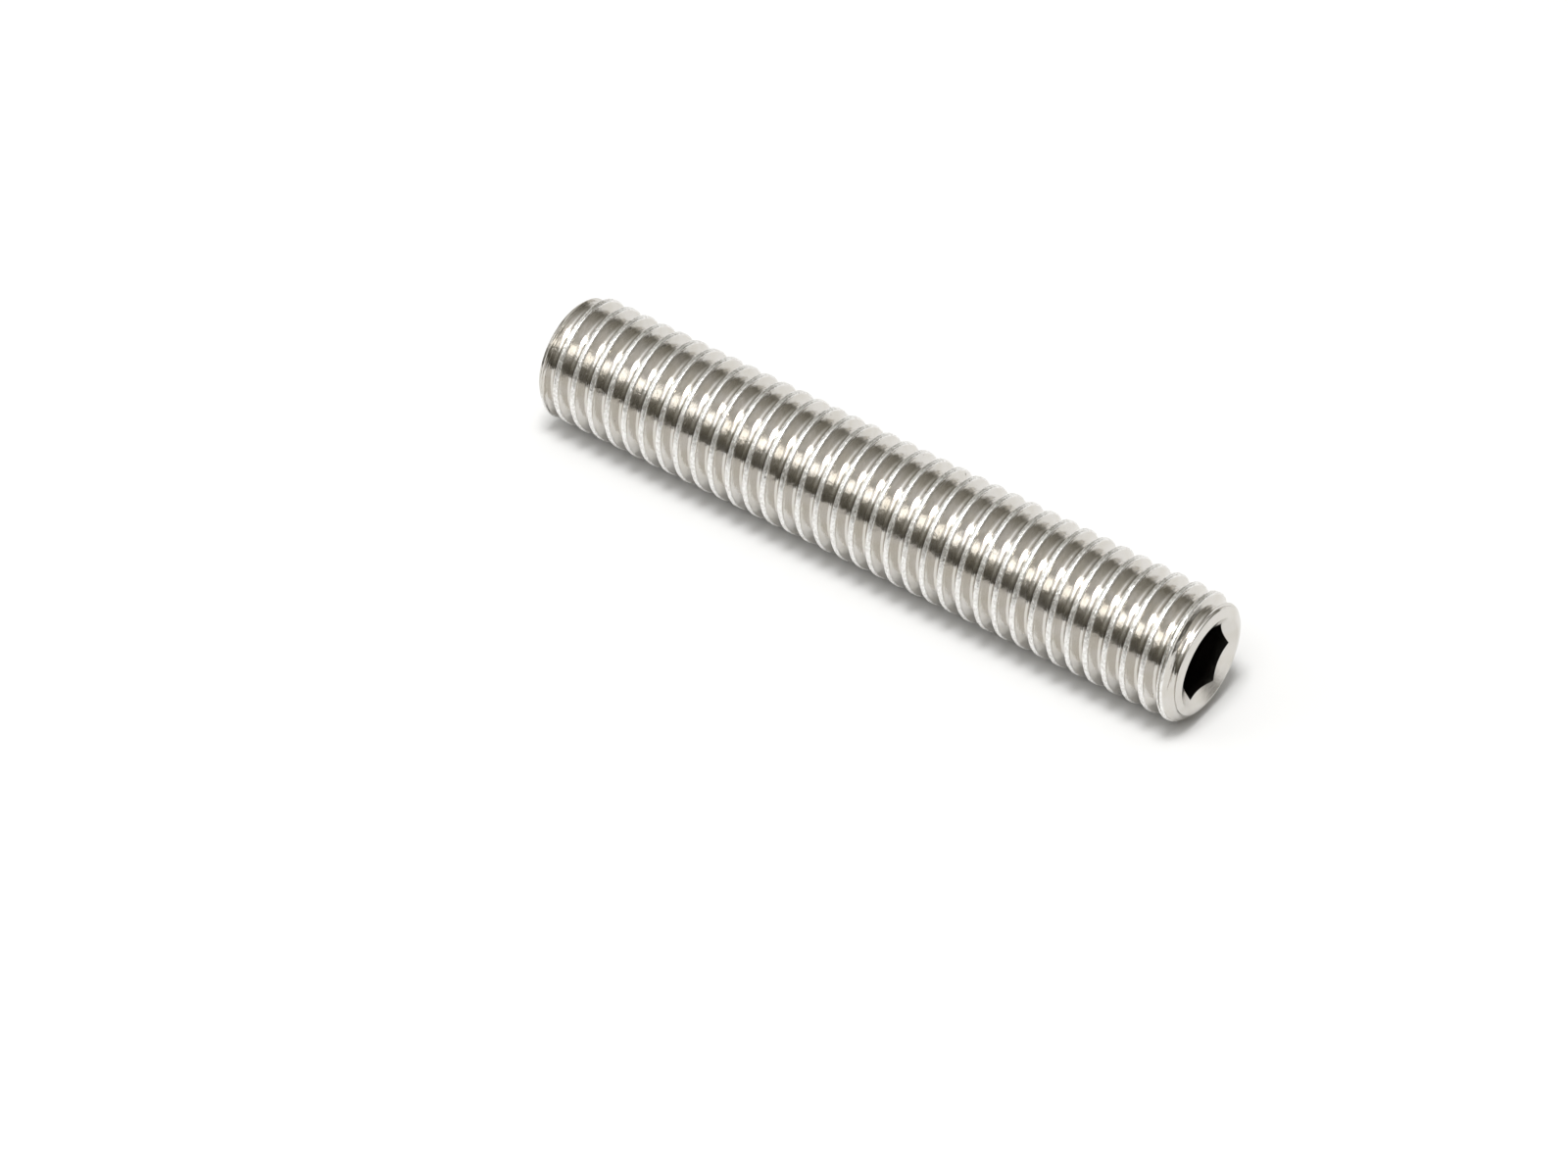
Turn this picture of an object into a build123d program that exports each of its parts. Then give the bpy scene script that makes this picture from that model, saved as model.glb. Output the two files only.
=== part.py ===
from build123d import *
from math import ceil, cos, radians, tan
import os

# A fully threaded metric stud with a hexagon socket in one end, in millimetres.
# It lies along X on the surface z = 0, with its middle over the origin and its socket towards +X.
# It is built standing along Z, plain end down at z = 0, and laid on its side at the end.

length = 45.0                   # from end face to end face
crest_d = 7.8                   # over the thread's crests: an M8 in tolerance class 6g has 7.760 to 7.972
pitch = 1.25                    # right-hand thread
flank_angle = 30.0              # of each flank to the plane square to the axis
crest_flat = pitch / 5          # width of the flat crest, along the axis
root_flat = pitch / 6           # width of the root, along the axis
first_crest = 0.51 * pitch      # the first crest's height above the plain end, on the side that lies downwards

end_chamfer = 0.65              # in from the crests to the rim of each end face
chamfer_angle = 45.0            # of each chamfer to the axis

socket_width = 4.09             # across the flats: a 4 mm key and its clearance
socket_depth = 5.0              # of the straight flats, from the end face
socket_turn = 22.7              # of the hexagon's corners about the axis
drill_point_angle = 120.0       # of the cone that the pilot drill leaves below the hexagon
countersink_angle = 120.0       # of the lead-in round the socket's mouth
countersink_rim = 0.49          # from the hexagon's corners out to the countersink's edge

# The threaded bar is made longer than the stud, and what stands past the ends is cut off.
SPARE_TURNS = 2
OVERCUT = 1.0                   # how far a cut, or a blank that only trims, runs past what it cuts

crest_r = crest_d / 2
flank_width = (pitch - crest_flat - root_flat) / 2
thread_depth = flank_width / tan(radians(flank_angle))
root_r = crest_r - thread_depth
socket_corner_r = socket_width / 2 / cos(radians(30))
countersink_r = socket_corner_r + countersink_rim


def thread_profile():
    """One pitch of the thread as (radius, height), from the foot of a ridge to the foot of the next."""
    return [
        (root_r, 0),
        (crest_r, flank_width),
        (crest_r, flank_width + crest_flat),
        (root_r, flank_width + crest_flat + flank_width),
        (root_r, pitch),
    ]


def one_turn(radius, height):
    """A single turn of a helix that starts at this radius and height."""
    return Edge.make_helix(pitch, pitch, radius, center=(0, 0, height))


def turn_faces():
    """The flank, crest, flank and root of one turn, each ruled between two helices."""
    profile = thread_profile()
    return [
        Face.make_surface_from_curves(one_turn(*lower), one_turn(*upper))
        for lower, upper in zip(profile, profile[1:])
    ]


def end_faces():
    """What closes the bar where the thread is cut across: a flat half section and the ramp behind it."""
    section = [Vector(0, 0, 0), *[Vector(r, 0, z) for r, z in thread_profile()], Vector(0, 0, pitch)]
    axis_line = Edge.make_line(section[0], section[-1])
    return [
        Face(Wire.make_polygon(section, close=True)),
        Face.make_surface_from_curves(axis_line, one_turn(root_r, 0)),
    ]


def threaded_bar():
    """A threaded bar with no end faces of its own, longer than the stud at both ends."""
    turns = ceil(length / pitch) + 2 * SPARE_TURNS
    faces = [
        face.moved(Pos(0, 0, turn * pitch))
        for turn in range(turns)
        for face in turn_faces()
    ]
    faces += [face.moved(Pos(0, 0, end * pitch)) for end in (0, turns) for face in end_faces()]
    crest_middle = flank_width + crest_flat / 2
    start = first_crest - crest_middle - SPARE_TURNS * pitch
    return Solid(Shell(faces)).moved(Pos(0, 0, start))


def chamfered_blank():
    """The stud's length with both end chamfers, and clear of the crests between them."""
    wide_r = crest_r + OVERCUT
    rim_r = crest_r - end_chamfer
    chamfer_length = (wide_r - rim_r) / tan(radians(chamfer_angle))
    outline = Polyline(
        (0, 0),
        (rim_r, 0),
        (wide_r, chamfer_length),
        (wide_r, length - chamfer_length),
        (rim_r, length),
        (0, length),
        close=True,
    )
    return revolve(Plane.XZ * make_face(outline), axis=Axis.Z)


def cone_tool(mouth_r, point_angle):
    """A cone with its point down and its mouth at z = 0."""
    depth = mouth_r / tan(radians(point_angle / 2))
    return Pos(0, 0, -depth / 2) * Cone(bottom_radius=0, top_radius=mouth_r, height=depth)


def socket_tool():
    """The hexagon, the drilled point below it and the countersink round its mouth, for a mouth at z = 0."""
    hexagon = RegularPolygon(socket_corner_r, side_count=6, rotation=socket_turn)
    straight = Pos(0, 0, -socket_depth) * extrude(hexagon, socket_depth + OVERCUT)
    drill_point = Pos(0, 0, -socket_depth) * cone_tool(socket_width / 2, drill_point_angle)
    return straight + drill_point + cone_tool(countersink_r, countersink_angle)


def make_stud():
    """The stud in one piece, lying on the surface."""
    standing = threaded_bar() & chamfered_blank()
    standing = standing - Pos(0, 0, length) * socket_tool()
    lying = Pos(-length / 2, 0, crest_r) * Rot(0, 90, 0) * standing
    stud = lying.solids()[0]
    stud.label = "stud"
    return stud


os.makedirs("parts", exist_ok=True)
export_step(make_stud(), "parts/stud.step")
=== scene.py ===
from math import atan2, ceil, cos, pi, radians, sin, tan

import bpy
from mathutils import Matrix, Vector


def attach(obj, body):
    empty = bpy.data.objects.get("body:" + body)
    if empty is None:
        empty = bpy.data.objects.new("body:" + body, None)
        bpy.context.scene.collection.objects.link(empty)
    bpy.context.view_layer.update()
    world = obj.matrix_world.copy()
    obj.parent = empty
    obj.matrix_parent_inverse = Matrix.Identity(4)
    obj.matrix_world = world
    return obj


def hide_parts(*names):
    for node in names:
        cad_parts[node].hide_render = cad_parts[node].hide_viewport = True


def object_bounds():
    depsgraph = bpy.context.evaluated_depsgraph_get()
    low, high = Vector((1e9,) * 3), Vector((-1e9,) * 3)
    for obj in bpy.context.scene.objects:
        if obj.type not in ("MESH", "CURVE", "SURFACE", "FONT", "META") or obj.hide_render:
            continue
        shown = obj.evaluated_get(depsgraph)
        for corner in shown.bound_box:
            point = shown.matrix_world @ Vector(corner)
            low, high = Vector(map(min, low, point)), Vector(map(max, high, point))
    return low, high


# A fully threaded stainless stud, M8 x 1.25, lying on a white table with its socket end to the right.
# All sizes are in metres. The stud lies along X, and its axis runs one crest radius above z = 0.

MM = 0.001

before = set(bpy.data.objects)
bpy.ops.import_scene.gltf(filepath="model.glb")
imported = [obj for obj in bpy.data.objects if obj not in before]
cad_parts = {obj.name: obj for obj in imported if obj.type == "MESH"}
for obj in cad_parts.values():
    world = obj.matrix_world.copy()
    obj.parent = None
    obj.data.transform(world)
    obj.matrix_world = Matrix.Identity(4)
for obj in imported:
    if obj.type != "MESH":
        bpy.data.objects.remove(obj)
cad_low, cad_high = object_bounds()

STUD_LENGTH = cad_high.x - cad_low.x
AXIS_HEIGHT = (cad_high.z + cad_low.z) / 2
CREST_RADIUS = min(cad_high.y, -cad_low.y)

# ---- the thread ----
PITCH = 1.25 * MM
FLANK_ANGLE = radians(30)           # of each flank to the plane square to the axis
CREST_WIDTH = 0.27 * MM             # of the flat crest, before its shoulders are rounded
SHOULDER_ROUND = 0.08 * MM          # where the flanks meet the crest
ROOT_ROUND = 0.19 * MM              # one arc fills the bottom of the groove from flank to flank
SEAM_WIDTH = 0.07 * MM              # the lap that rolling leaves along the middle of the crest
SEAM_DEPTH = 0.02 * MM
CREST_BAND = 0.12 * MM              # how far below the crest the metal is ragged from rolling
CREST_RAGGED = 0.030 * MM           # deepest dent in that band
RAGGED_SIZE = 0.30 * MM             # of the dents
PLAIN_END = 0.9 * MM                # no dents this near the ends
FOLD_REACH = 2.1 * MM               # near the ends the crests are open, with a fold along their middle
FOLD_DEPTH = 0.42 * MM              # at the very end
FIRST_CREST = 0.51 * PITCH          # height of the first crest past the plain end, on the lowest side
STEPS_PER_TURN = 96
SPARE_TURNS = 2                     # run past each end before the ends are cut
THREAD_DEPTH = (PITCH - CREST_WIDTH) / 2 / tan(FLANK_ANGLE) - ROOT_ROUND * (1 / sin(FLANK_ANGLE) - 1)
ROOT_RADIUS = CREST_RADIUS - THREAD_DEPTH
MERGE_GAP = 0.0005 * MM             # vertices this near are one
BISECT_GAP = 0.00001 * MM
SMOOTH_UP_TO = radians(28)          # a sharper edge between two faces is shaded as an edge

# ---- the ends ----
CROWN_INNER = 2.85 * MM             # each end face slopes back from this radius...
CROWN_OUTER = 3.40 * MM             # ...to the rim, where the chamfer starts
SOCKET_CROWN = 0.18 * MM            # how far, at the socket end
PLAIN_CROWN = 0.03 * MM             # and at the plain end
RIM_ROUND = 0.08 * MM
CHAMFER_RIDGES = 3                  # low ridges round each chamfer, left by the first turns of the thread
RIDGE_DEPTH = 0.05 * MM
SOCKET_WIDTH = 4.09 * MM            # across the flats
SOCKET_DEPTH = 5.0 * MM
SOCKET_TURN = radians(22.7)
SOCKET_CORNER = SOCKET_WIDTH / 2 / cos(radians(30))
COUNTERSINK_RADIUS = 2.85 * MM
POINT_HALF_ANGLE = radians(60)      # of the countersink and of the drilled bottom
OVERCUT = 1 * MM                    # how far a cutting shape reaches past what it cuts

# ---- finish: linear colours, lengths in mm, and noise scales in features to a mm ----
CLEAN_STEEL = (0.66, 0.64, 0.61)
TARNISHED_STEEL = (0.62, 0.595, 0.55)
TARNISH_SCALE = 0.8
TORN_CREST = (0.68, 0.665, 0.635)
RUBBED_CREST = (0.92, 0.915, 0.90)
PIT_COLOR = (0.20, 0.17, 0.13)
SOCKET_COLOR = (0.22, 0.20, 0.18)
STEEL_ROUGHNESS = (0.11, 0.20)      # from the smoothest streak to the roughest
CREST_ROUGHER = 0.13                # added on the crests
PIT_ROUGHER = 0.3                   # added in a pit
CUT_END_ROUGHER = 0.05              # added inside the rim of each end face
CUT_END_GRAIN = 0.25                # share of the rolled grain's height that is left there
CUT_END_RADII = (2.95, 3.15)        # the cut face blends into the rolled surface between these
STREAK_SCALE = 14
STREAK_HEIGHT = 0.0022
RIPPLE_SCALE = 1.6
RIPPLE_HEIGHT = 0.014
PEEL_SCALE = 5.5
PEEL_HEIGHT = 0.005
DRIFT_SCALE = 0.9                   # how fast the grain wanders along the thread
CREST_FADE = (0.17, 0.06)           # below the crests, where the rubbed metal starts and is whole
TORN_SCALE = 5.5
TORN_HEIGHT = 0.030
PIT_SCALE = 4.5
PIT_HEIGHT = 0.02                   # depth of a pit
PIT_RADII = (3.0, 3.2)              # pits start between these, so the end faces have none
END_LINE_SPACING = 0.17
END_LINE_HEIGHT = 0.010
END_LINE_REACH = (0.75, 0.60)       # from the end, where the lines start and are whole
END_LINE_RADII = (3.36, 3.44)       # and from which radius
END_LINE_WANDER = 5                 # radians of unevenness
SOCKET_DARK = (1.0, 0.45)           # below the mouth, where the dark is whole and where it ends
SOCKET_DARK_PAST = (2.0, 1.5)       # past the straight walls' bottom, likewise
SOCKET_DARK_RADII = (2.38, 2.46)
TABLE_COLOR = (0.695, 0.695, 0.695)
TABLE_SIZE = 6                      # metres

# ---- camera ----
CAMERA_AZIMUTH = radians(36.13)
CAMERA_ELEVATION = radians(43.19)
CAMERA_DISTANCE = 398.3 * MM
CAMERA_AIM = Vector((-2.97, -5.72, 0)) * MM
CAMERA_LENS = 158.55                # on a 36 mm sensor


# ---- small helpers ----

def deselect_all():
    bpy.ops.object.select_all(action="DESELECT")


def make_active(piece):
    deselect_all()
    piece.select_set(True)
    bpy.context.view_layer.objects.active = piece


def apply_modifier(piece, kind, **settings):
    """Adds one modifier to the piece and applies it."""
    make_active(piece)
    modifier = piece.modifiers.new(kind.lower(), kind)
    for name, value in settings.items():
        setattr(modifier, name, value)
    bpy.ops.object.modifier_apply(modifier=modifier.name)


def bake_place(piece):
    make_active(piece)
    bpy.ops.object.transform_apply(location=True, rotation=True, scale=True)


def extrude_line(name, points):
    """A chain of edges through these points, drawn out from one vertex."""
    deselect_all()
    bpy.ops.mesh.primitive_plane_add(size=PITCH)
    line = bpy.context.object
    line.name = name
    bpy.ops.object.mode_set(mode="EDIT")
    bpy.ops.mesh.select_all(action="SELECT")
    bpy.ops.mesh.merge(type="CENTER")
    bpy.ops.transform.translate(value=points[0])
    for last, point in zip(points, points[1:]):
        step = Vector(point) - Vector(last)
        bpy.ops.mesh.extrude_region_move(TRANSFORM_OT_translate={"value": step})
    bpy.ops.object.mode_set(mode="OBJECT")
    return line


def rounded_corner(before, corner, after, radius, steps):
    """Points of the arc that rounds a corner of a flat outline, given as (x, r) pairs."""
    before, corner, after = Vector(before), Vector(corner), Vector(after)
    to_before = (before - corner).normalized()
    to_after = (after - corner).normalized()
    half = to_before.angle(to_after) / 2
    centre = corner + (to_before + to_after).normalized() * radius / sin(half)
    start = corner + to_before * radius / tan(half) - centre
    end = corner + to_after * radius / tan(half) - centre
    return [centre + start.slerp(end, i / steps) * radius for i in range(steps + 1)]


# ---- the stud's shape ----

def thread_profile():
    """One pitch of the thread as (x, r), from the middle of one groove to the middle of the next."""
    groove_x = -PITCH / 2
    root_arc = [
        Vector((groove_x + ROOT_ROUND * sin(angle), ROOT_RADIUS + ROOT_ROUND * (1 - cos(angle))))
        for angle in (i / 5 * (pi / 2 - FLANK_ANGLE) for i in range(6))
    ]
    shoulder_arc = rounded_corner(
        root_arc[-1], (-CREST_WIDTH / 2, CREST_RADIUS), (0, CREST_RADIUS), SHOULDER_ROUND, 3)
    # two more points near the flank's ends keep its shading straight between them
    flank = [root_arc[-1].lerp(shoulder_arc[0], part) for part in (0.08, 0.92)]
    left_half = root_arc + flank + shoulder_arc
    left_half.append(Vector((-SEAM_WIDTH / 2, CREST_RADIUS)))
    left_half.append(Vector((-SEAM_WIDTH / 5, CREST_RADIUS - SEAM_DEPTH)))
    right_half = [Vector((-p.x, p.y)) for p in reversed(left_half)]
    return left_half + right_half[:-1]


def threaded_bar():
    """The bare thread round the X axis, longer than the stud at both ends."""
    turns = ceil(STUD_LENGTH / PITCH) + 2 * SPARE_TURNS
    # the profile starts straight below the axis, where the first crest's height is known
    first_x = -STUD_LENGTH / 2 + FIRST_CREST - SPARE_TURNS * PITCH
    profile = thread_profile()
    profile.append(profile[0] + Vector((PITCH, 0)))
    points = [(first_x + p.x, 0, -p.y) for p in profile]
    bar = extrude_line("stud_thread", points)
    apply_modifier(
        bar, "SCREW",
        axis="X", angle=2 * pi, screw_offset=PITCH, iterations=turns,
        steps=STEPS_PER_TURN, render_steps=STEPS_PER_TURN, use_smooth_shade=True,
    )
    fold_end_crests(bar, first_x)
    make_active(bar)
    bpy.ops.object.mode_set(mode="EDIT")
    bpy.ops.mesh.select_all(action="SELECT")
    bpy.ops.mesh.remove_doubles(threshold=MERGE_GAP)
    for end in (-1, 1):
        bpy.ops.mesh.select_all(action="SELECT")
        bpy.ops.mesh.bisect(
            plane_co=(end * STUD_LENGTH / 2, 0, 0), plane_no=(end, 0, 0),
            use_fill=True, clear_outer=True, threshold=BISECT_GAP,
        )
    bpy.ops.mesh.select_all(action="SELECT")
    bpy.ops.mesh.normals_make_consistent(inside=False)
    bpy.ops.object.mode_set(mode="OBJECT")
    return bar


def fold_end_crests(bar, first_x):
    """Opens the seam of the first and last crests, which the rolling doesn't quite close."""
    for vertex in bar.data.vertices:
        x, y, z = vertex.co
        to_end = STUD_LENGTH / 2 - abs(x)
        if to_end > FOLD_REACH or vertex.co.yz.length < CREST_RADIUS - 1.5 * SEAM_DEPTH:
            continue
        turns = (x - first_x) / PITCH - (atan2(z, y) + pi / 2) / (2 * pi)
        off_middle = abs(turns - round(turns)) * PITCH
        if off_middle < SEAM_WIDTH:
            depth = FOLD_DEPTH * (1 - max(to_end, 0) / FOLD_REACH) ** 2
            share = 1 if off_middle < SEAM_WIDTH / 3 else 0.5
            scale = 1 - depth * share / CREST_RADIUS
            vertex.co = (x, y * scale, z * scale)


def lathe(name, outline, steps=STEPS_PER_TURN):
    """A closed shape turned round the X axis; its outline of (x, r) points starts and ends on the axis."""
    shape = extrude_line(name, [(x, 0, r) for x, r in outline])
    apply_modifier(
        shape, "SCREW",
        axis="X", angle=2 * pi, screw_offset=0, steps=steps, render_steps=steps,
        use_merge_vertices=True, merge_threshold=MERGE_GAP,
    )
    make_active(shape)
    bpy.ops.object.mode_set(mode="EDIT")
    bpy.ops.mesh.select_all(action="SELECT")
    bpy.ops.mesh.remove_doubles(threshold=MERGE_GAP)
    bpy.ops.mesh.normals_make_consistent(inside=False)
    bpy.ops.object.mode_set(mode="OBJECT")
    return shape


def end_outline(crown_drop):
    """One end of the blank as (x, r) points: the crowned face, its rim and the chamfer with its ridges."""
    half = STUD_LENGTH / 2
    wide = CREST_RADIUS + OVERCUT
    crown = [
        (half - crown_drop * (i / 5) ** 1.4, CROWN_INNER + (CROWN_OUTER - CROWN_INNER) * i / 5)
        for i in range(6)
    ]
    rim = crown[-1]
    chamfer_top = (rim[0] - (wide - rim[1]), wide)
    rounded = [(p.x, p.y) for p in rounded_corner(crown[-2], rim, chamfer_top, RIM_ROUND, 4)]
    # the ridges climb the chamfer from the rim to the crests, four points to a ridge
    foot_x, foot_r = rounded[-1]
    climb = CREST_RADIUS - foot_r
    ridges = []
    for i in range(1, 4 * CHAMFER_RIDGES):
        rise = climb * i / (4 * CHAMFER_RIDGES)
        sink = RIDGE_DEPTH * (1 - cos(i * pi / 2)) / 2
        ridges.append((foot_x - rise - sink, foot_r + rise - sink))
    return [(half, 0), *crown[:-1], *rounded, *ridges, chamfer_top]


def chamfered_blank():
    """What the thread is cut down to: the stud's length, crowned and chamfered ends, clear of the crests."""
    right_half = end_outline(SOCKET_CROWN)
    left_half = [(-x, r) for x, r in reversed(end_outline(PLAIN_CROWN))]
    # a few more steps than the thread has, so that the two meshes' edges don't coincide
    return lathe("blank", right_half + left_half, steps=STEPS_PER_TURN + 4)


def socket_cutters():
    """The hexagon, the drilled point at its bottom and the countersink round its mouth, as three tools."""
    half = STUD_LENGTH / 2
    floor_x = half - SOCKET_DEPTH
    deselect_all()
    bpy.ops.mesh.primitive_cylinder_add(
        vertices=6, radius=SOCKET_CORNER, depth=SOCKET_DEPTH + OVERCUT,
        location=((half + OVERCUT + floor_x) / 2, 0, 0), rotation=(0, radians(90), 0),
    )
    hexagon = bpy.context.object
    bake_place(hexagon)
    hexagon.rotation_euler.x = SOCKET_TURN + radians(30)
    bake_place(hexagon)
    drill_radius = SOCKET_WIDTH / 2
    slope = tan(POINT_HALF_ANGLE)
    point = lathe("drill_point", [
        (floor_x - drill_radius / slope, 0),
        (floor_x, drill_radius),
        (floor_x + OVERCUT, drill_radius),
        (floor_x + OVERCUT, 0),
    ])
    countersink = lathe("countersink", [
        (half - COUNTERSINK_RADIUS / slope, 0),
        (half + OVERCUT, COUNTERSINK_RADIUS + OVERCUT * slope),
        (half + OVERCUT, 0),
    ])
    return [hexagon, point, countersink]


def cut(piece, tool, operation):
    apply_modifier(piece, "BOOLEAN", operation=operation, solver="EXACT", object=tool)
    bpy.data.objects.remove(tool, do_unlink=True)


def roughen_crests(stud):
    """Dents the crest and its shoulders a little and unevenly, as thread rolling leaves them."""
    crest = stud.vertex_groups.new(name="crest")
    high = [
        v.index for v in stud.data.vertices
        if v.co.yz.length > CREST_RADIUS - CREST_BAND and abs(v.co.x) < STUD_LENGTH / 2 - PLAIN_END
    ]
    crest.add(high, 1, "REPLACE")
    clouds = bpy.data.textures.new("ragged_crest", "CLOUDS")
    clouds.noise_scale = RAGGED_SIZE
    clouds.noise_depth = 1
    apply_modifier(
        stud, "DISPLACE",
        texture=clouds, texture_coords="LOCAL", vertex_group=crest.name,
        mid_level=1, strength=CREST_RAGGED,
    )


def make_stud():
    stud = threaded_bar()
    cut(stud, chamfered_blank(), "INTERSECT")
    for tool in socket_cutters():
        cut(stud, tool, "DIFFERENCE")
    roughen_crests(stud)
    stud.location.z = AXIS_HEIGHT
    bake_place(stud)
    make_active(stud)
    bpy.ops.object.shade_smooth_by_angle(angle=SMOOTH_UP_TO)
    stud.name = "threaded_stud"
    return stud


# ---- finish ----

def new_material(name):
    material = bpy.data.materials.new(name)
    material.use_nodes = True
    tree = material.node_tree
    tree.nodes.clear()
    output = tree.nodes.new("ShaderNodeOutputMaterial")
    shader = tree.nodes.new("ShaderNodeBsdfPrincipled")
    tree.links.new(shader.outputs["BSDF"], output.inputs["Surface"])
    return material, tree, shader


def new_group(name, inputs, outputs):
    """A node group with float or vector sockets, and its input and output nodes."""
    group = bpy.data.node_groups.new(name, "ShaderNodeTree")
    for label, kind in inputs:
        group.interface.new_socket(name=label, in_out="INPUT", socket_type=kind)
    for label, kind in outputs:
        group.interface.new_socket(name=label, in_out="OUTPUT", socket_type=kind)
    return group, group.nodes.new("NodeGroupInput"), group.nodes.new("NodeGroupOutput")


def add_group(tree, group, **links):
    node = tree.nodes.new("ShaderNodeGroup")
    node.node_tree = group
    for label, socket in links.items():
        tree.links.new(socket, node.inputs[label])
    return node


def map_range(tree, value, from_min, from_max, to_min=0, to_max=1, smooth=False):
    node = tree.nodes.new("ShaderNodeMapRange")
    node.interpolation_type = "SMOOTHSTEP" if smooth else "LINEAR"
    node.inputs["From Min"].default_value = from_min
    node.inputs["From Max"].default_value = from_max
    node.inputs["To Min"].default_value = to_min
    node.inputs["To Max"].default_value = to_max
    tree.links.new(value, node.inputs["Value"])
    return node.outputs["Result"]


def math(tree, operation, first, second):
    node = tree.nodes.new("ShaderNodeMath")
    node.operation = operation
    for socket, value in zip(node.inputs, (first, second)):
        if isinstance(value, (int, float)):
            socket.default_value = value
        else:
            tree.links.new(value, socket)
    return node.outputs["Value"]


def noise(tree, vector, scale, detail=2, roughness=0.5):
    """Noise with this many features to a millimetre, where the vector is in millimetres."""
    node = tree.nodes.new("ShaderNodeTexNoise")
    node.inputs["Scale"].default_value = scale
    node.inputs["Detail"].default_value = detail
    node.inputs["Roughness"].default_value = roughness
    tree.links.new(vector, node.inputs["Vector"])
    return node.outputs["Fac"]


def mix_color(tree, factor, first, second):
    """Mixes two colours, each a tuple or a socket."""
    node = tree.nodes.new("ShaderNodeMix")
    node.data_type = "RGBA"
    tree.links.new(factor, node.inputs["Factor"])
    for socket, color in ((node.inputs[6], first), (node.inputs[7], second)):
        if isinstance(color, tuple):
            socket.default_value = (*color, 1)
        else:
            tree.links.new(color, socket)
    return node.outputs[2]


def bar_place_group():
    """Turns object coordinates into millimetres about the bar's axis, its radius, and a grain vector."""
    group, start, end = new_group(
        "bar_place",
        [("Object", "NodeSocketVector")],
        [("Place", "NodeSocketVector"), ("Radius", "NodeSocketFloat"), ("Along Grain", "NodeSocketVector")],
    )
    centred = group.nodes.new("ShaderNodeVectorMath")
    centred.operation = "SUBTRACT"
    centred.inputs[1].default_value = (0, 0, AXIS_HEIGHT)
    group.links.new(start.outputs["Object"], centred.inputs[0])
    in_mm = group.nodes.new("ShaderNodeVectorMath")
    in_mm.operation = "SCALE"
    in_mm.inputs["Scale"].default_value = 1 / MM
    group.links.new(centred.outputs[0], in_mm.inputs[0])
    split = group.nodes.new("ShaderNodeSeparateXYZ")
    group.links.new(in_mm.outputs[0], split.inputs[0])
    y_squared = math(group, "POWER", split.outputs["Y"], 2)
    z_squared = math(group, "POWER", split.outputs["Z"], 2)
    radius = math(group, "SQRT", math(group, "ADD", y_squared, z_squared), 0)
    # the grain runs round the bar, so it varies mostly with x and the radius
    grain = group.nodes.new("ShaderNodeCombineXYZ")
    drift = noise(group, in_mm.outputs[0], DRIFT_SCALE, detail=1)
    group.links.new(split.outputs["X"], grain.inputs["X"])
    group.links.new(radius, grain.inputs["Y"])
    group.links.new(drift, grain.inputs["Z"])
    group.links.new(in_mm.outputs[0], end.inputs["Place"])
    group.links.new(radius, end.inputs["Radius"])
    group.links.new(grain.outputs[0], end.inputs["Along Grain"])
    return group


def rolled_grain_group():
    """Fine lines round the bar over slow ripples, as a rolled thread shows; the height is in mm."""
    group, start, end = new_group(
        "rolled_grain",
        [("Place", "NodeSocketVector"), ("Along Grain", "NodeSocketVector")],
        [("Height", "NodeSocketFloat"), ("Streaks", "NodeSocketFloat")],
    )
    streaks = noise(group, start.outputs["Along Grain"], STREAK_SCALE, detail=3, roughness=0.6)
    ripples = noise(group, start.outputs["Place"], RIPPLE_SCALE)
    peel = noise(group, start.outputs["Place"], PEEL_SCALE)
    height = math(group, "MULTIPLY", streaks, STREAK_HEIGHT)
    height = math(group, "ADD", height, math(group, "MULTIPLY", ripples, RIPPLE_HEIGHT))
    height = math(group, "ADD", height, math(group, "MULTIPLY", peel, PEEL_HEIGHT))
    group.links.new(height, end.inputs["Height"])
    group.links.new(streaks, end.inputs["Streaks"])
    return group


def crest_wear_group():
    """A mask of the crests, and their small torn specks; the height is in mm."""
    group, start, end = new_group(
        "crest_wear",
        [("Place", "NodeSocketVector"), ("Radius", "NodeSocketFloat")],
        [("Mask", "NodeSocketFloat"), ("Torn", "NodeSocketFloat"), ("Height", "NodeSocketFloat")],
    )
    top = CREST_RADIUS / MM
    starts, whole = CREST_FADE
    band = map_range(group, start.outputs["Radius"], top - starts, top - whole, smooth=True)
    torn = noise(group, start.outputs["Place"], TORN_SCALE, detail=3, roughness=0.6)
    group.links.new(band, end.inputs["Mask"])
    group.links.new(map_range(group, torn, 0.34, 0.62, smooth=True), end.inputs["Torn"])
    height = math(group, "MULTIPLY", math(group, "MULTIPLY", torn, band), TORN_HEIGHT)
    group.links.new(height, end.inputs["Height"])
    return group


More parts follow.
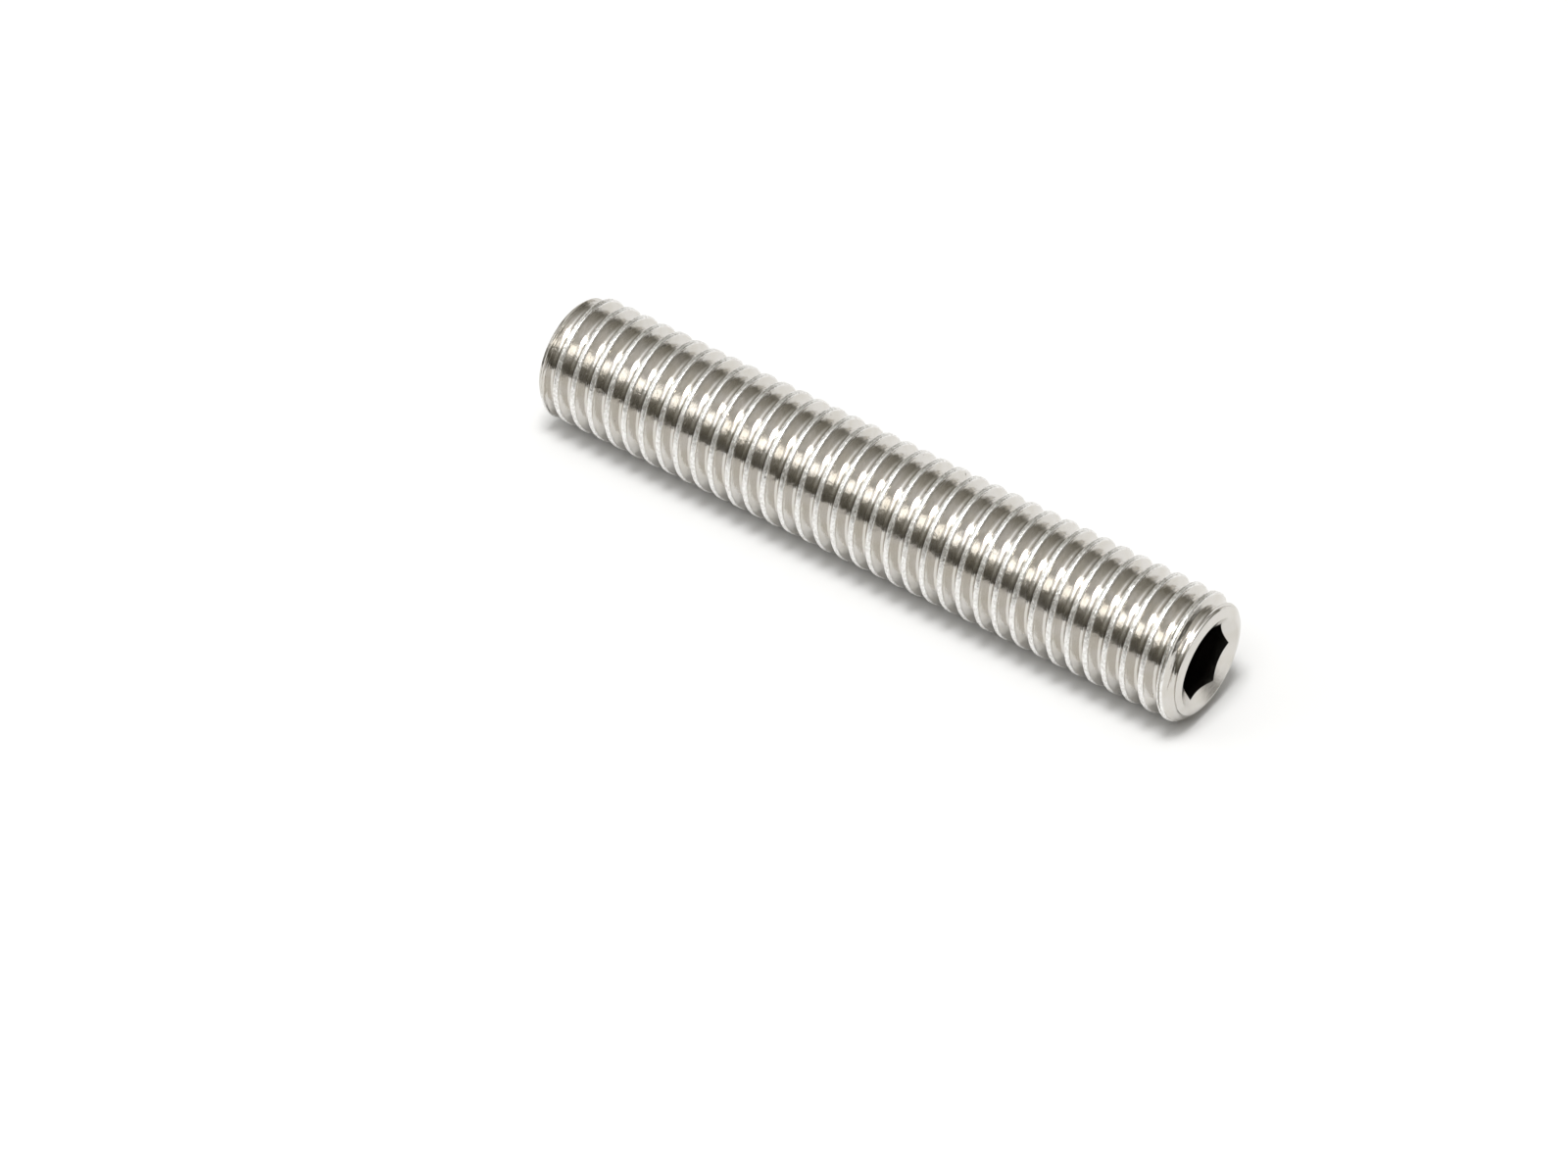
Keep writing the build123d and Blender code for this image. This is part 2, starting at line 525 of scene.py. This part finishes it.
def end_lines_group():
    """Fine lines round both chamfers; the height is in mm."""
    group, start, end = new_group(
        "end_lines",
        [("Place", "NodeSocketVector"), ("Radius", "NodeSocketFloat")],
        [("Height", "NodeSocketFloat")],
    )
    split = group.nodes.new("ShaderNodeSeparateXYZ")
    group.links.new(start.outputs["Place"], split.inputs[0])
    along = math(group, "ABSOLUTE", split.outputs["X"], 0)
    outer = STUD_LENGTH / 2 / MM
    starts, whole = END_LINE_REACH
    near_end = map_range(group, along, outer - starts, outer - whole, smooth=True)
    outside = map_range(group, start.outputs["Radius"], *END_LINE_RADII, smooth=True)
    uneven = math(group, "MULTIPLY", noise(group, start.outputs["Place"], 1.2), END_LINE_WANDER)
    phase = math(group, "MULTIPLY", along, 2 * pi / END_LINE_SPACING)
    wave = math(group, "SINE", math(group, "ADD", phase, uneven), 0)
    mask = math(group, "MULTIPLY", near_end, outside)
    height = math(group, "MULTIPLY", math(group, "MULTIPLY", wave, mask), END_LINE_HEIGHT)
    group.links.new(height, end.inputs["Height"])
    return group


def pits_group():
    """Small sparse pits in the rolled surface, none in the cut end; the mask is 1 in a pit."""
    group, start, end = new_group(
        "pits",
        [("Place", "NodeSocketVector"), ("Radius", "NodeSocketFloat")],
        [("Mask", "NodeSocketFloat")],
    )
    speckle = noise(group, start.outputs["Place"], PIT_SCALE)
    pit = map_range(group, speckle, 0.75, 0.80, smooth=True)
    rolled = map_range(group, start.outputs["Radius"], *PIT_RADII)
    group.links.new(math(group, "MULTIPLY", pit, rolled), end.inputs["Mask"])
    return group


def socket_darkening_group():
    """A mask of the socket's walls and bottom, which are darker than the rest."""
    group, start, end = new_group(
        "socket_darkening",
        [("Place", "NodeSocketVector"), ("Radius", "NodeSocketFloat")],
        [("Mask", "NodeSocketFloat")],
    )
    split = group.nodes.new("ShaderNodeSeparateXYZ")
    group.links.new(start.outputs["Place"], split.inputs[0])
    mouth = STUD_LENGTH / 2 / MM
    bottom = mouth - SOCKET_DEPTH / MM
    whole, ends = SOCKET_DARK
    deep = map_range(group, split.outputs["X"], mouth - whole, mouth - ends, 1, 0)
    ends, whole = SOCKET_DARK_PAST
    above_bottom = map_range(group, split.outputs["X"], bottom - ends, bottom - whole)
    inside = map_range(group, start.outputs["Radius"], *SOCKET_DARK_RADII, 1, 0)
    mask = math(group, "MULTIPLY", math(group, "MULTIPLY", deep, above_bottom), inside)
    group.links.new(mask, end.inputs["Mask"])
    return group


def stainless_material():
    material, tree, shader = new_material("stainless_rolled")
    coords = tree.nodes.new("ShaderNodeTexCoord")
    place = add_group(tree, bar_place_group(), Object=coords.outputs["Object"])
    grain = add_group(tree, rolled_grain_group(), Place=place.outputs["Place"])
    tree.links.new(place.outputs["Along Grain"], grain.inputs["Along Grain"])
    about_axis = {"Place": place.outputs["Place"], "Radius": place.outputs["Radius"]}
    crest = add_group(tree, crest_wear_group(), **about_axis)
    pits = add_group(tree, pits_group(), **about_axis)
    lines = add_group(tree, end_lines_group(), **about_axis)
    cut_end = map_range(tree, place.outputs["Radius"], *CUT_END_RADII, 1, 0, smooth=True)
    socket_darkening_mask = add_group(tree, socket_darkening_group(), **about_axis)

    # the grooves hold a slight warm tarnish, the crests are rubbed bright, and pits are dark
    clouds = noise(tree, place.outputs["Place"], TARNISH_SCALE, detail=3)
    tarnish = map_range(tree, clouds, 0.35, 0.65, smooth=True)
    color = mix_color(tree, tarnish, CLEAN_STEEL, TARNISHED_STEEL)
    rubbed = mix_color(tree, crest.outputs["Torn"], TORN_CREST, RUBBED_CREST)
    color = mix_color(tree, crest.outputs["Mask"], color, rubbed)
    color = mix_color(tree, pits.outputs["Mask"], color, PIT_COLOR)
    # the socket's walls and bottom are darker, from just below its mouth down
    color = mix_color(tree, socket_darkening_mask.outputs["Mask"], color, SOCKET_COLOR)
    tree.links.new(color, shader.inputs["Base Color"])
    shader.inputs["Metallic"].default_value = 1

    roughness = map_range(tree, grain.outputs["Streaks"], 0.3, 0.7, *STEEL_ROUGHNESS)
    for mask, rougher in (
        (crest.outputs["Mask"], CREST_ROUGHER),
        (pits.outputs["Mask"], PIT_ROUGHER),
        (cut_end, CUT_END_ROUGHER),
    ):
        roughness = math(tree, "ADD", roughness, math(tree, "MULTIPLY", mask, rougher))
    tree.links.new(roughness, shader.inputs["Roughness"])

    evenness = map_range(tree, cut_end, 0, 1, 1, CUT_END_GRAIN)
    height = math(tree, "MULTIPLY", grain.outputs["Height"], evenness)
    height = math(tree, "ADD", height, crest.outputs["Height"])
    height = math(tree, "ADD", height, lines.outputs["Height"])
    height = math(tree, "SUBTRACT", height, math(tree, "MULTIPLY", pits.outputs["Mask"], PIT_HEIGHT))
    bump = tree.nodes.new("ShaderNodeBump")
    bump.inputs["Distance"].default_value = 1 * MM
    tree.links.new(height, bump.inputs["Height"])
    tree.links.new(bump.outputs["Normal"], shader.inputs["Normal"])
    return material


def table_material():
    """White paper, plain and matt."""
    material, tree, shader = new_material("white_table")
    shader.inputs["Base Color"].default_value = (*TABLE_COLOR, 1)
    shader.inputs["Roughness"].default_value = 1
    shader.inputs["Specular IOR Level"].default_value = 0
    return material


def add_table():
    deselect_all()
    bpy.ops.mesh.primitive_plane_add(size=TABLE_SIZE)
    table = bpy.context.object
    table.name = "table"
    table.data.materials.append(table_material())
    return table


# ---- light and camera ----

# name, direction from the stud, width and height in metres, and how bright its face looks
LAMPS = [
    ("overhead_softbox", (0.05, -0.37, 0.93), 0.34, 0.66, 2.5),
    ("overhead_lamp", (0.05, -0.17, 0.98), 0.22, 0.22, 28),
    ("side_lamp", (-0.565, -0.515, 0.645), 0.26, 0.28, 2.8),
]
LAMP_DISTANCE = 0.8                 # metres


def add_softbox(name, direction, width, height, strength):
    """An area lamp that faces the middle of the stud."""
    place = Vector(direction).normalized() * LAMP_DISTANCE
    deselect_all()
    bpy.ops.object.light_add(type="AREA", location=place)
    lamp = bpy.context.object
    lamp.name = name
    lamp.rotation_euler = place.to_track_quat("Z", "Y").to_euler()
    lamp.data.shape = "RECTANGLE"
    lamp.data.size = width
    lamp.data.size_y = height
    lamp.data.energy = strength * pi * width * height


# brightness of the room against the sine of the height above the horizon
ROOM_STEPS = [
    (-0.20, (0.06, 0.054, 0.042)),
    (0.00, (0.06, 0.054, 0.042)),
    (0.20, (0.10, 0.092, 0.074)),
    (0.36, (0.20, 0.190, 0.160)),
    (0.50, (0.33, 0.318, 0.282)),
    (0.70, (0.48, 0.472, 0.440)),
    (0.80, (0.68, 0.675, 0.655)),
    (0.90, (0.95, 0.945, 0.935)),
    (1.00, (1.20, 1.20, 1.20)),
]
BACK_CARD = (1.00, 0.99, 0.96)      # a low white card behind the table, at +Y and toward -X
RAMP_PEAK = 2.0                     # a colour ramp holds no more than 1, so it holds the room over this


def light_room():
    """A pale dome over a dim warm room, a white card behind, and three softboxes."""
    world = bpy.data.worlds.new("studio")
    bpy.context.scene.world = world
    world.use_nodes = True
    tree = world.node_tree
    tree.nodes.clear()
    output = tree.nodes.new("ShaderNodeOutputWorld")
    coords = tree.nodes.new("ShaderNodeTexCoord")
    split = tree.nodes.new("ShaderNodeSeparateXYZ")
    tree.links.new(coords.outputs["Generated"], split.inputs[0])
    ramp = tree.nodes.new("ShaderNodeValToRGB")
    elements = ramp.color_ramp.elements
    for i, (height, color) in enumerate(ROOM_STEPS):
        element = elements[i] if i < 2 else elements.new(1)
        element.position = (height + 1) / 2
        element.color = (*[c / RAMP_PEAK for c in color], 1)
    tree.links.new(map_range(tree, split.outputs["Z"], -1, 1), ramp.inputs[0])
    room = tree.nodes.new("ShaderNodeBackground")
    room.inputs["Strength"].default_value = RAMP_PEAK
    tree.links.new(ramp.outputs["Color"], room.inputs["Color"])
    card = tree.nodes.new("ShaderNodeBackground")
    card.inputs["Color"].default_value = (*BACK_CARD, 1)
    behind = map_range(tree, split.outputs["Y"], 0.25, 0.70, smooth=True)
    low = map_range(tree, split.outputs["Z"], 0.16, 0.36, 1, 0, smooth=True)
    left = map_range(tree, split.outputs["X"], 0.05, 0.45, 1, 0, smooth=True)
    with_card = tree.nodes.new("ShaderNodeMixShader")
    tree.links.new(math(tree, "MULTIPLY", math(tree, "MULTIPLY", behind, low), left), with_card.inputs[0])
    tree.links.new(room.outputs[0], with_card.inputs[1])
    tree.links.new(card.outputs[0], with_card.inputs[2])
    tree.links.new(with_card.outputs[0], output.inputs["Surface"])
    for lamp in LAMPS:
        add_softbox(*lamp)


def add_camera():
    direction = Vector((
        sin(CAMERA_AZIMUTH) * cos(CAMERA_ELEVATION),
        -cos(CAMERA_AZIMUTH) * cos(CAMERA_ELEVATION),
        sin(CAMERA_ELEVATION),
    ))
    deselect_all()
    bpy.ops.object.camera_add(location=CAMERA_AIM + direction * CAMERA_DISTANCE)
    camera = bpy.context.object
    camera.rotation_euler = direction.to_track_quat("Z", "Y").to_euler()
    camera.data.lens = CAMERA_LENS
    camera.data.sensor_width = 36
    camera.data.clip_start = 0.01
    bpy.context.scene.camera = camera


stud = make_stud()
stud.data.materials.append(stainless_material())
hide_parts("stud")
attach(stud, "root")

add_table()
light_room()
add_camera()
bpy.context.scene.view_settings.view_transform = "Standard"
